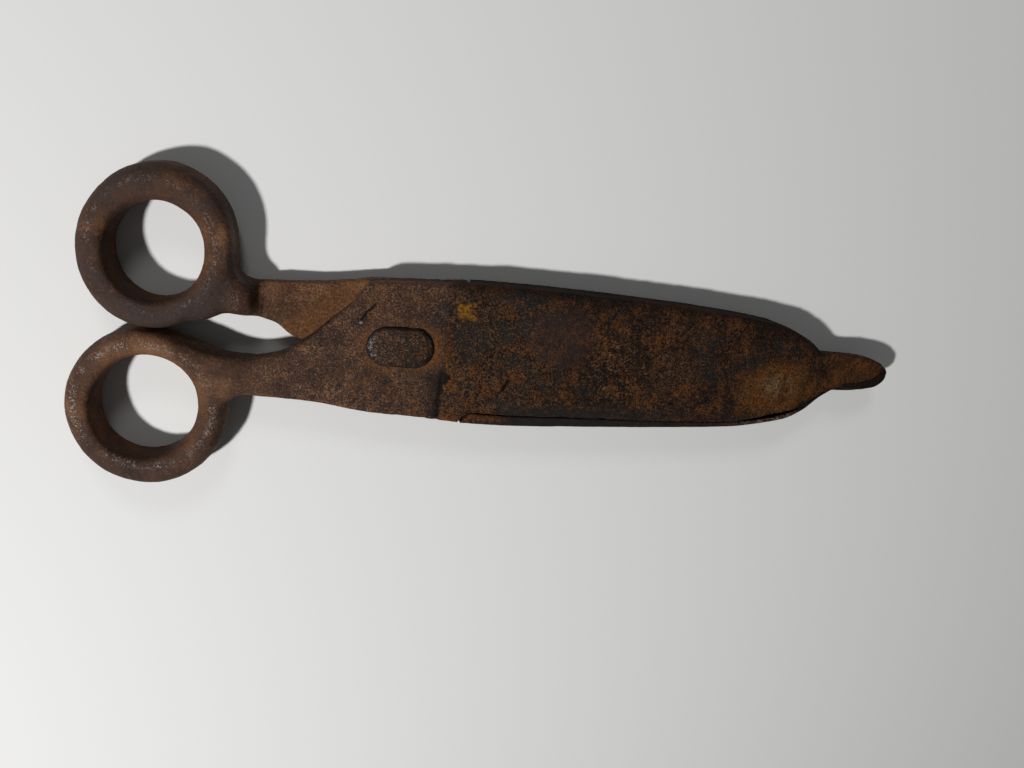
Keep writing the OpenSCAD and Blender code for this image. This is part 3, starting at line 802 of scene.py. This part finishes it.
def rustAndPaintedLightFinish(name, look):
    # layers of rust over forged iron, with painted shade and highlights, in the places that the real tongs
    # show them
    material = bpy.data.materials.new(name)
    material.use_nodes = True
    tree = material.node_tree
    tree.nodes.clear()
    w = Wire(tree)
    at = Spot(w, look["move"])

    # every place has a tone from dark to light, of grains, patches and crumbs' joints; the
    # grains are strongest round the rivet
    grit = 0.50 + at.x.over(-50, -20) * 1.10 - at.x.over(32, 60) * 0.35
    grain = ((at.fine - 0.5) * 1.3 + (at.dust - 0.5) * 2.6) * grit * look["grit"]
    joints = at.cells(0.95, 17).over(0.13, 0.0) * at.patch.over(0.40, 0.60) * at.rough
    drift = (at.patch - 0.5) * (1.9 - at.rough * 0.7) + (at.broad - 0.5) * (2.0 - at.rough * 1.2)
    heel = at.x.over(4, 16) * at.x.over(52, 38) * 0.12
    tone = 0.5 + grain + drift - joints * 0.35 + heel + look["light"]
    tone = tone + at.x.over(-42, -52) * look["ringLight"]
    tone = tone - at.x.over(34, 44) * at.x.over(80, 66) * 0.07
    tone = tone - at.relief.over(0.45, 0.10) * (at.rough * 0.30 + 0.12)
    ring = at.x.over(-42, -50) * look["ring"] * (at.hue * 0.6 + at.broad * 0.6).over(0.70, 0.52)
    arm = ring.tint(threeTones(tone, -0.3, 1.3, "arm"), rustAndPaintedLightColours["ring"])
    colour = at.rough.tint(arm, threeTones(tone, -0.2, 1.5, "mouth"))

    # orange and slate by patches, in single grains
    lit = (0.5 + grain).part(0.15, 1.05)
    warmest = at.rough * 0.26 + at.x.over(-45, -15) * 0.24 + 0.10
    warm = at.hue.over(0.48, 0.60) * lit * warmest * look["warm"]
    colour = warm.tint(colour, rustAndPaintedLightColours["rust"])
    cold = at.hue.over(0.50, 0.38) * at.patch.over(0.38, 0.53) * at.rough * at.x.over(75, 40)
    colour = (cold * (0.95 - lit * 0.6)).tint(colour, rustAndPaintedLightColours["slate"])
    roughness = 0.72 + (at.fine - 0.5) * 0.5 - at.relief * 0.06
    for layer in look["layers"]:
        mask, layerTone, strength, gloss = layer(at, lit)
        colour = (mask * strength).tint(colour, rustAndPaintedLightColours[layerTone])
        roughness = roughness + mask * gloss
    # bare metal on raised grains: smoother, and painted grey as a highlight
    shine = (at.dust * 0.6 + at.fine * 0.5).over(0.62, 0.70) * at.relief.over(0.40, 0.58) * look["shine"]
    colour = (shine * 0.45).tint(colour, rustAndPaintedLightColours["bareSheenGrey"])
    roughness = roughness - shine * 0.35

    heights = at.dust * (at.rough * 0.35 + 0.30) + at.fine * 0.85 + at.patch * 0.25 - joints * 0.15
    bump = w.node("ShaderNodeBump", sockets={
        "Strength": look["bump"], "Distance": 0.0005, "Height": heights})
    skin = w.node("ShaderNodeBsdfPrincipled", sockets={
        "Base Color": colour, "Roughness": roughness.over(0.0, 1.0),
        "Normal": bump, "Specular IOR Level": look["specular"]})
    w.node("ShaderNodeOutputMaterial", sockets={"Surface": skin})
    print("made", name)
    return material


# every layer gives where it lies, its colour, its strength and what it adds to the roughness;
# lit is high in the light grains of the rust

def halo(at, lit):  # orange ring round the rivet's head, strongest at its two ends
    ends = (at.x.size() / 9.0).over(0.35, 1.05) * 0.75 + 0.25
    ring = at.blot(0.0, 0, 11.6, 7.5, 0.45, 0.9) * ends * (lit * 0.9 + 0.35)
    return ring * at.hue.over(0.30, 0.50) * at.front, "orange", 0.85, 0.05


def slit(at, lit):  # painted shade in the slit above the rivet, broken in two
    start, end = cuts["slit"]["ends"]
    halves = (start, (-9.5, 9.1)), ((-9.0, 9.7), end)
    broken = largest([at.stroke(*half, 0.34, 0.22, 0.4) for half in halves])
    return broken * at.front, "paintedShadeBlack", 1.0, 0.1


def slitGlow(at, lit):  # orange grains beside it
    return at.blot(-7.6, 8.4, 1.7, 2.2, 0.6) * lit * at.front, "orange", 0.6, 0.05


def slitGlint(at, lit):  # painted highlight, a bright speck at the slit's lower end
    return at.blot(-10.9, 6.2, 0.42, 0.36, 0.4, 0.3) * at.front, "glintWhite", 0.5, -0.3


def fromWeld(at, startX):  # distance in X from a line that starts there and leans as the weld does
    return at.x - (at.y + 19.6) * 0.075 - startX


def seamShade(at, lit):  # dark weld groove, with a smooth dark lap before it and a pit at its end
    away = fromWeld(at, 10.8)
    line = at.uneven(away.size(), 0.8, 0.6, 1.4)
    lap = at.uneven(away.size(), 3.4, 2.8, 1.6) * at.x.over(12, 11) * 0.72
    pit = at.blot(12.4, -8.0, 1.5, 2.1, 0.6, 1.0)
    return (line.most(lap) * at.y.over(-4.5, -8)).most(pit) * at.front, "paintedShadeBlack", 0.90, 0.05


def seamGlow(at, lit):  # orange grains beside the groove, up to the rivet's end
    low = at.uneven(fromWeld(at, 13.6).size(), 1.5, 1.2, 2.2) * at.y.over(-2, -7)
    glow = low.most(at.blot(12.0, 0.5, 2.2, 6.5, 0.8, 1.0))
    return glow * (lit * 1.1 + 0.1) * at.front, "orange", 0.62, 0.05


def ochreMark(at, lit):  # yellow mark in front of the rivet: a block with two short arms
    strokes = (((15.5, 12.0), (15.9, 9.9), 1.00, 0.25, 0.9), ((16.4, 11.3), (17.6, 11.1), 1.00, 0.25, 0.9),
               ((16.6, 12.2), (19.2, 12.9), 0.55, 0.25, 0.8), ((16.8, 10.3), (19.7, 9.1), 0.70, 0.25, 0.8))
    mark = largest([at.stroke(*stroke) for stroke in strokes])
    return mark * (lit * 0.7 + 0.3) * at.x.over(24, 15.5) * at.front, "mark", 1.2, 0.1


def crack(at, lit):  # painted shade in a short crack in the front plate
    return at.stroke((29.0, -10.8), (30.0, -7.8), 0.42, 0.25, 0.35) * at.front, "paintedShadeBlack", 1.0, 0.1


def plumPatch(at, lit):  # smoother purple brown
    return at.blot(43.5, 6, 9, 8, 0.8, 0.9) * at.front, "plum", 0.55, -0.05


def paleGrains(at, lit):  # a few cream grains
    spots = (at.dust * 0.7 + at.fine * 0.45).over(0.65, 0.71)
    return spots * at.blot(61, -2, 9, 11, 0.9, 0.8) * at.front, "pale", 0.50, 0.0


def blotches(at, lit):  # slate blotches towards the toe
    places = ((100, 2, 5.0, 3.2), (86, 6, 3.8, 4.4), (112, 7, 4.4, 2.4), (88, -2, 4.0, 3.2))
    marks = largest([at.blot(*place, 0.9, 1.1) for place in places])
    return marks * at.front * (1.2 - lit).over(0.0, 1.0), "slate", 0.62, -0.05


def heelBlots(at, lit):  # slate crust before the rivet and along the upper edge
    places = ((18.5, 3.5, 5.2, 5.0), (15, -15, 3.4, 3.2), (33, 15.5, 7.5, 2.4), (29, 5.5, 2.2, 2.4))
    marks = largest([at.blot(*place, 0.9, 1.3) for place in places])
    return marks * at.front * (1.2 - lit * 1.3).part(0.0, 1.0), "slate", 0.82, -0.05


def palePatch(at, lit):  # golden orange before the toe
    mottle = (at.hue * 0.7 + at.patch * 0.6).over(0.48, 0.74) * 0.75 + 0.25
    return at.blot(111, -6.0, 12, 8.0, 0.9) * at.front * mottle * (lit * 0.9 + 0.25), "ochre", 0.95, -0.02


def greyPatch(at, lit):  # paler middle of that patch
    mottle = at.patch.over(0.44, 0.58)
    return at.blot(111, -5.5, 6.0, 3.6, 0.9) * at.front * mottle * (lit + 0.1), "pale", 0.55, -0.05


def topShade(at, lit):  # dark shoulder above the toe
    away = at.y + (at.x - 96) * 0.42 + (at.patch - 0.5) * 4
    return away.over(12.5, 18.0) * at.x.over(90, 104) * at.x.over(128, 120), "paintedShadeBlack", 0.55, 0.0


def topEdge(at, lit):  # painted shade: the upper edge of the mouth stays dark
    away = at.y + at.x * 0.035 + (at.fine + at.patch - 1.0) * 5
    return away.over(15.6, 18.6) * at.x.over(10, 16), "paintedShadeBlack", 0.50, 0.0


def lowBand(at, lit):  # slate crust along the lower edge of the plate
    low = (at.y - at.x * 0.02 + (at.patch + at.fine - 1.0) * 5).over(-14.6, -17.4)
    band = low * at.x.over(25, 31) * (at.x.over(88, 50) * 0.75 + 0.25)
    return band * (1 - lit * 0.3), "slate", 0.92, -0.05


def tongueGlow(at, lit):  # the tongues are warmer
    return at.x.over(124, 131) * at.front * (lit * 0.6 + 0.5), "rust", 0.36, -0.05


def tongueEdgeShade(at, lit):  # painted shade round the lower side of the tongue, from the toe on
    away = (((at.x - 131) / 15.0) ** 2.0 + ((at.y - 1.5) / 5.6) ** 2.0) ** 0.5 + (at.fine - 0.5) * 0.06
    tongue = away.over(0.93, 1.0) * at.x.over(131, 134) * at.y.over(4.0, 1.5)
    toe = at.stroke((119.0, -12.6), (127.0, -8.0), 0.8, 0.5, 0.5)
    root = at.stroke((127.0, -8.0), (133.0, -5.6), 0.9, 0.5, 0.5)
    return largest([tongue, toe, root]), "paintedShadeBlack", 0.85, -0.1


def scorch(at, lit):  # slate along the rim, thickest on its lip
    low = (at.y + (at.patch - 0.5) * 1.2).over(-15.6, -16.6)
    crust = (at.patch * 0.7 + at.fine * 0.5 + (at.z - 10.0) * 0.07).over(0.36, 0.62)
    return low * crust * at.x.over(27, 33) * (at.x.over(110, 55) * 0.65 + 0.35), "slate", 0.92, -0.10


def crescent(at, lit):  # orange at the beginning of the rim
    low = (at.y + (at.patch - 0.5) * 1.2).over(-16.8, -17.8) * at.y.over(-21.0, -19.9)
    return low * at.x.over(17, 19) * at.x.over(31, 27) * (lit * 0.7 + 0.3), "orange", 0.55, 0.0


def toeRimWearAndSheen(at, lit):  # the rim is worn bare round the toe, with a painted highlight there
    bare = at.x.over(98, 106) * at.x.over(126, 116) * at.z.over(9.2, 10.2)
    return bare * at.fine.over(0.42, 0.60), "bareSheenGrey", 0.42, -0.30


def toeShade(at, lit):  # the rear tongue is dark behind the front one
    return at.x.over(112, 122) * at.z.over(9.9, 9.2), "paintedShadeBlack", 0.60, 0.0


def lapStrip(at, lit):  # golden strip beside the crossing edge
    away = (at.x + 16) * 0.66 - (at.y - 11) * 0.75 + (at.patch - 0.5) * 3
    strip = away.over(-5.5, -3.0) * at.z.over(5.2, 6.1) * at.x.over(-38, -34)
    return strip * (lit * 0.6 + 0.4), "ochre", 0.55, 0.05


def lapGlow(at, lit):  # bright orange brown over the lap
    lap = at.x.over(-37.5, -35.5) * at.x.over(-12, -26) * at.z.over(5.2, 6.1)
    return lap * (lit * 0.6 + 0.4), "rust", 0.34, 0.05


def shoulderShade(at, lit):  # dark step down to the lap
    away = (at.x + 36.6 - (at.y - 10) * 0.13).size()
    return at.uneven(away, 0.35, 0.4, 0.5) * at.z.over(6.0, 6.8), "paintedShadeBlack", 0.75, -0.1


# the crests round the rings' holes: middle and half measures of each oval
crests = {"front": (-66.1, -19.8, 17.4, 16.9), "rear": (-62.2, 22.6, 14.9, 16.6)}


def fromCrest(at, ring):  # 1 on the crest, less inside it
    cx, cy, rx, ry = crests[ring]
    return (((at.x - cx) / rx) ** 2.0 + ((at.y - cy) / ry) ** 2.0) ** 0.5


def crestWearAndGlints(ring, strength, gloss):  # bare specks with painted highlights, in short arcs along the crest of a ring
    def layer(at, lit):
        along = ((fromCrest(at, ring) - 1.0).size() + (at.fine - 0.5) * 0.10).over(0.085, 0.02)
        spots = (at.dust * 0.9 + at.fine * 0.35).over(0.64, 0.72)
        specks = spots * (along * at.hue.over(0.44, 0.54)) * at.z.over(9.5, 11.0) * at.x.over(-42, -47)
        return specks, "bareSheenGrey", strength, gloss
    return layer


def boreRust(ring, strength):  # orange brown on the inner wall of a ring
    def layer(at, lit):
        inside = fromCrest(at, ring).over(1.0, 0.84) * at.x.over(-40, -46)
        return inside * (at.patch + at.fine).over(0.75, 1.25), "rust", strength, 0.05
    return layer


def fromHead(at):  # distance from the middle line of the rivet's head
    along = (at.x.size() - 3.5).most(0.0)
    return (along ** 2.0 + at.y ** 2.0) ** 0.5


def headEdgeShade(at, lit):  # painted shade: the rivet's head is black round its edge, less so on its lower side
    return at.uneven(fromHead(at), 5.0, -0.5, 0.6) * at.y.over(-6.0, -2.5).most(0.4), "paintedShadeBlack", 0.92, 0.0


def headWearAndGlints(at, lit):  # bare metal with painted highlights along the head's left end
    away = fromHead(at)
    spots = (at.dust * 0.7 + at.fine * 0.5).over(0.58, 0.72) * away.over(3.7, 4.5) * away.over(5.5, 5.1)
    return spots * at.x.over(-5.2, -6.8) * at.y.over(-4.5, -2.5) * at.y.over(4.2, 2.2), "glintWhite", 0.55, -0.45


def neckShade(at, lit):  # worn shoulder at the end of the neck
    away = (at.x + 42.0).size()
    return at.uneven(away, 2.4, 2.0, 1.5) * at.z.over(8.0, 10.0), "ring", 0.30, -0.35


# move shifts the noise; light lifts the tone, and ringLight that of the rings; grit, warm and shine
# are the strengths of grains, orange and bare metal with a painted highlight, and ring that of the
# rings' own brown
armLook = {
    "move": 0, "light": 0.0, "ringLight": 0.13, "grit": 1.0, "ring": 0.30, "warm": 1.3, "shine": 0.4,
    "bump": 0.75, "specular": 0.20,
    "layers": [halo, seamShade, slitGlow, slit, slitGlint, boreRust("front", 0.50),
               crestWearAndGlints("front", 0.72, -0.45)],
}
rearArmLook = dict(armLook, move=211, light=-0.10, ringLight=-0.10, ring=0.80,
                   layers=[boreRust("rear", 0.40), crestWearAndGlints("rear", 0.20, -0.30), lapGlow, lapStrip,
                           neckShade, shoulderShade])
jawLook = {
    "move": 0, "light": -0.02, "ringLight": 0.0, "grit": 1.2, "ring": 0.0, "warm": 1.5, "shine": 0.0,
    "bump": 0.9, "specular": 0.10,
    "layers": [seamGlow, halo, seamShade, plumPatch, palePatch, greyPatch, blotches, heelBlots, lowBand,
               topShade, topEdge, tongueGlow, tongueEdgeShade, paleGrains, ochreMark, crack],
}
rearJawLook = dict(jawLook, move=211, layers=[scorch, crescent, tongueGlow, toeRimWearAndSheen, toeShade])
rivetLook = {
    "move": 57, "light": -0.30, "ringLight": 0.0, "grit": 1.3, "ring": 0.0, "warm": 1.3, "shine": 0.2,
    "bump": 1.0, "specular": 0.22, "layers": [headEdgeShade, headWearAndGlints],
}

buildArm("frontArm", frontArm, rustAndPaintedLightFinish("wornArmIron", armLook))
buildArm("rearArm", rearArm, rustAndPaintedLightFinish("wornRearArmIron", rearArmLook))
buildJaw("frontJaw", frontJaw, rustAndPaintedLightFinish("pittedMouthIron", jawLook))
buildJaw("rearJaw", rearJaw, rustAndPaintedLightFinish("pittedRearMouthIron", rearJawLook))
buildRivet(rustAndPaintedLightFinish("wornRivetIron", rivetLook))

# floor, light and camera

# in metres, as the scene is
stageSet = {
    "floorReach": 3.0, "floorDrop": 0.00002,        # the floor lies that little under the tongs
    "floorColour": (0.74, 0.735, 0.72, 1), "floorRough": 0.9, "floorSpecular": 0.2,
    "keyPlace": (-0.43, -0.23, 0.62), "keySize": 0.06, "keyPower": 5.9,
    "fillPlace": (-0.10, 0.75, 0.60), "fillSize": 0.25, "fillPower": 1.1,
    "lampAim": (0.03, 0, 0), "sky": 0.07, "skyColour": (0.93, 0.96, 1.0, 1),
}
# fitted to the photo: the camera's place, and which ways its right, its top and its lens point
cameraSet = {
    "place": (-0.00501, 0.05405, 0.21546), "right": (0.98452, 0.09628, 0.14643),
    "up": (-0.04819, 0.95209, -0.30201), "ahead": (0.16849, -0.29028, -0.94199),
    "lens": 27.07, "sensor": 36.0, "nearest": 0.005, "farthest": 20,
}


def buildStage():
    reach, drop = stageSet["floorReach"], stageSet["floorDrop"]
    corners = np.array([[x * reach, y * reach, -drop] for x, y in ((-1, -1), (1, -1), (1, 1), (-1, 1))])
    floor = newPiece("floor", corners, [[0, 1, 2, 3]])
    paint = bpy.data.materials.new("paleFloor")
    paint.use_nodes = True
    base = paint.node_tree.nodes["Principled BSDF"]
    base.inputs["Base Color"].default_value = stageSet["floorColour"]
    base.inputs["Roughness"].default_value = stageSet["floorRough"]
    base.inputs["Specular IOR Level"].default_value = stageSet["floorSpecular"]
    floor.data.materials.append(paint)


def turnTo(thing, place, right, up, ahead):  # stands there and looks along ahead
    unit = [np.array(v, float) / np.linalg.norm(v) for v in (right, up, ahead)]
    rows = np.stack([unit[0], unit[1], -unit[2], np.array(place, float)], 1)
    thing.matrix_world = Matrix([*rows.tolist(), [0, 0, 0, 1]])


def softLamp(name):  # a round lamp that looks at the tongs
    lamp = bpy.data.lights.new(name + "Lamp", "AREA")
    lamp.shape = "DISK"
    lamp.size = stageSet[name + "Size"]
    lamp.energy = stageSet[name + "Power"]
    place = stageSet[name + "Place"]
    ahead = np.array(stageSet["lampAim"], float) - place
    side = np.cross(ahead, [0, 0, 1.0])
    turnTo(addObject(name + "Lamp", lamp), place, side, np.cross(side, ahead), ahead)


def buildCamera():
    eye = bpy.data.cameras.new("camera")
    eye.lens, eye.sensor_width = cameraSet["lens"], cameraSet["sensor"]
    eye.clip_start, eye.clip_end = cameraSet["nearest"], cameraSet["farthest"]
    holder = addObject("camera", eye)
    turnTo(holder, cameraSet["place"], cameraSet["right"], cameraSet["up"], cameraSet["ahead"])
    bpy.context.scene.camera = holder


def buildSky():
    sky = bpy.data.worlds.new("sky")
    sky.use_nodes = True
    background = sky.node_tree.nodes["Background"]
    background.inputs["Color"].default_value = stageSet["skyColour"]
    background.inputs["Strength"].default_value = stageSet["sky"]
    bpy.context.scene.world = sky


buildStage()
softLamp("key")
softLamp("fill")
buildSky()
buildCamera()
bpy.context.scene.view_settings.view_transform = "Standard"
print("stage set")
